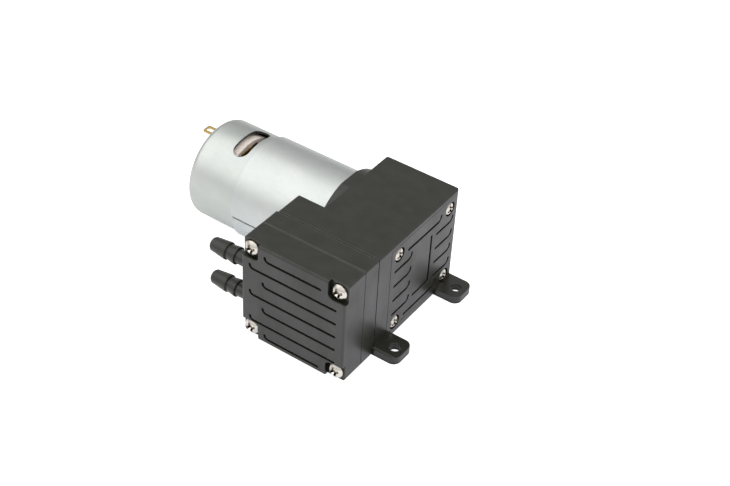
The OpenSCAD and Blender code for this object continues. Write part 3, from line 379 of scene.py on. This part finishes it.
def make_materials():
    """One material for each of the record's slots."""
    return {
        # Black plastic, with a pale colour painted as highlight on edges and seams on top
        "black_plastic": moulded_plastic(
            "black_plastic", (0.0130, 0.0130, 0.0085), edge_highlight=(0.115, 0.115, 0.10)),
        # Nickel steel, with a dark colour painted as shade in its recesses
        "nickel_steel": bright_metal(
            "nickel_steel", (0.74, 0.70, 0.625), 0.22, recess_shade=(0.12, 0.085, 0.06)),
        "gasket_rubber": soft_rubber("gasket_rubber", (0.30, 0.03, 0.02)),
        "valve_rubber": soft_rubber("valve_rubber", (0.02, 0.02, 0.022)),
        "stainless": bright_metal("stainless", (0.62, 0.63, 0.65), 0.22),
        "bearing_steel": bright_metal("bearing_steel", (0.58, 0.59, 0.61), 0.14),
        "cast_aluminium": satin_metal(
            "cast_aluminium", (0.60, 0.61, 0.62), 0.5, stretch=(1, 1, 1)),
        "brass": bright_metal("brass", (0.80, 0.58, 0.24), 0.28),
        "bronze": sintered_metal("bronze", (0.55, 0.36, 0.16)),
        "black_steel": bright_metal("black_steel", (0.06, 0.06, 0.065), 0.35),
        # Zinc plated steel, with a dark colour painted as shade on the walls of the can's windows and
        # inside it
        "zinc_plated_steel": motor_steel(
            "zinc_plated_steel", can=(0.65, 0.67, 0.64), ring=(0.675, 0.695, 0.675),
            window_shade=(0.12, 0.12, 0.12)),
        "ferrite": pressed_material("ferrite", (0.09, 0.09, 0.10), 0.5, size=0.3 * MM),
        "core_steel": satin_metal("core_steel", (0.35, 0.36, 0.38), 0.35, stretch=(0.5, 6, 6)),
        "copper": bright_metal("copper", (0.72, 0.33, 0.15), 0.3),
        "phenolic": pressed_material("phenolic", (0.82, 0.73, 0.66), 0.55, size=0.4 * MM),
        "nylon": pressed_material("nylon", (0.70, 0.68, 0.60), 0.5, size=0.5 * MM),
        "carbon": pressed_material("carbon", (0.03, 0.03, 0.033), 0.4, size=0.2 * MM),
        "spring_steel": bright_metal("spring_steel", (0.6, 0.6, 0.62), 0.2),
    }


def dress_nodes(materials):
    """Gives each CAD node the material of its slot."""
    slots = {s["node"]: s["material_slot"] for s in frame["record"]["subparts"]}
    for name, obj in frame["nodes"].items():
        obj.data.materials.clear()
        obj.data.materials.append(materials[slots[name]])


# Stage

def floor_material():
    """White floor that keeps the part's shadow and glows a little in polished pieces, dimmer beside
    the motor as a painted shadow.
    """
    mat = bpy.data.materials.new("floor_white")
    mat.use_nodes = True
    tree = mat.node_tree
    tree.nodes.clear()
    path = add(tree, "ShaderNodeLightPath").outputs
    place = add(tree, "ShaderNodeNewGeometry").outputs["Position"]
    # Painted shadow: polished pieces see the floor dimmer beside the motor
    share = ramp(tree, axes(tree, place)["X"], FLOOR_DIM_X, FLOOR_BRIGHT_X,
                 FLOOR_DIM, FLOOR_BRIGHT, smooth=True)
    mirrored = compute(tree, "MAXIMUM", path["Is Glossy Ray"], path["Is Transmission Ray"])
    reflected = compute(tree, "MULTIPLY", mirrored, share)
    strength = compute(tree, "MULTIPLY_ADD", path["Is Camera Ray"], FLOOR_GLOW, reflected)
    glow = add(tree, "ShaderNodeEmission")
    link(tree, mixed(tree, mirrored, WHITE, FLOOR_TINT), glow.inputs["Color"])
    link(tree, strength, glow.inputs["Strength"])
    diffuse = add(tree, "ShaderNodeBsdfDiffuse", Color=(*FLOOR_COLOR, 1))
    both = add(tree, "ShaderNodeAddShader")
    out = add(tree, "ShaderNodeOutputMaterial")
    link(tree, diffuse.outputs[0], both.inputs[0])
    link(tree, glow.outputs[0], both.inputs[1])
    link(tree, both.outputs[0], out.inputs["Surface"])
    return mat


def make_floor():
    """Large round floor just under the base."""
    bpy.ops.mesh.primitive_circle_add(
        vertices=96, radius=FLOOR_RADIUS, fill_type="NGON", location=(0, 0, -FLOOR_GAP))
    floor = bpy.context.object
    floor.name = "floor"
    floor.data.materials.append(floor_material())


def make_world():
    """White surroundings, dimmer at the back and low down; pure white where the camera sees them."""
    world = bpy.data.worlds.new("studio")
    bpy.context.scene.world = world
    world.use_nodes = True
    tree = world.node_tree
    tree.nodes.clear()
    way = add(tree, "ShaderNodeTexCoord").outputs["Generated"]
    bright = Vector(BRIGHT_SIDE).normalized()
    towards = compute_vector(tree, "DOT_PRODUCT", way, bright, result="Value")
    level = ramp(tree, towards, BACK_END, FRONT_START, BACK_LEVEL, FRONT_LEVEL, smooth=True)
    low = ramp(tree, axes(tree, way)["Z"], 0.0, LOW_END, low=LOW_SHARE, smooth=True)
    light = add(tree, "ShaderNodeBackground", Color=(*WHITE, 1))
    link(tree, compute(tree, "MULTIPLY", level, low), light.inputs["Strength"])
    seen = add(tree, "ShaderNodeBackground", Color=(*WHITE, 1), Strength=1.0)
    path = add(tree, "ShaderNodeLightPath").outputs
    mix = add(tree, "ShaderNodeMixShader")
    out = add(tree, "ShaderNodeOutputWorld")
    link(tree, path["Is Camera Ray"], mix.inputs[0])
    link(tree, light.outputs[0], mix.inputs[1])
    link(tree, seen.outputs[0], mix.inputs[2])
    link(tree, mix.outputs[0], out.inputs["Surface"])


def make_lamps():
    """Soft square lamps that look at the middle of the part."""
    target = sum((Vector(c) for c in bounds_cad), Vector()) / 2
    for name, place, size, power, color in LAMPS:
        data = bpy.data.lights.new(name, "AREA")
        data.shape = "SQUARE"
        data.size = size
        data.energy = power
        data.color = color
        lamp = bpy.data.objects.new(name, data)
        bpy.context.collection.objects.link(lamp)
        lamp.location = place
        lamp.rotation_euler = (Vector(place) - target).to_track_quat("Z", "Y").to_euler()


def make_camera():
    """Camera at the photograph's viewing angle."""
    turn, rise, roll = (math.radians(a) for a in (CAMERA_TURN, CAMERA_RISE, CAMERA_ROLL))
    flat = math.cos(rise)
    back = Vector((math.sin(turn) * flat, -math.cos(turn) * flat, math.sin(rise)))
    level = Vector((math.cos(turn), math.sin(turn), 0))
    over = back.cross(level)
    right = math.cos(roll) * level + math.sin(roll) * over
    up = math.cos(roll) * over - math.sin(roll) * level
    data = bpy.data.cameras.new("camera")
    data.sensor_width = SENSOR
    data.lens = FOCAL_PIXELS * SENSOR / IMAGE_WIDTH
    data.clip_start = 0.01
    camera = bpy.data.objects.new("camera", data)
    bpy.context.collection.objects.link(camera)
    turned = Matrix((right, up, back)).transposed().to_4x4()
    camera.matrix_world = Matrix.Translation(CAMERA_PLACE) @ turned
    bpy.context.scene.camera = camera


make_camera()
dress_nodes(make_materials())
make_floor()
make_world()
make_lamps()
bpy.context.scene.view_settings.view_transform = "Standard"
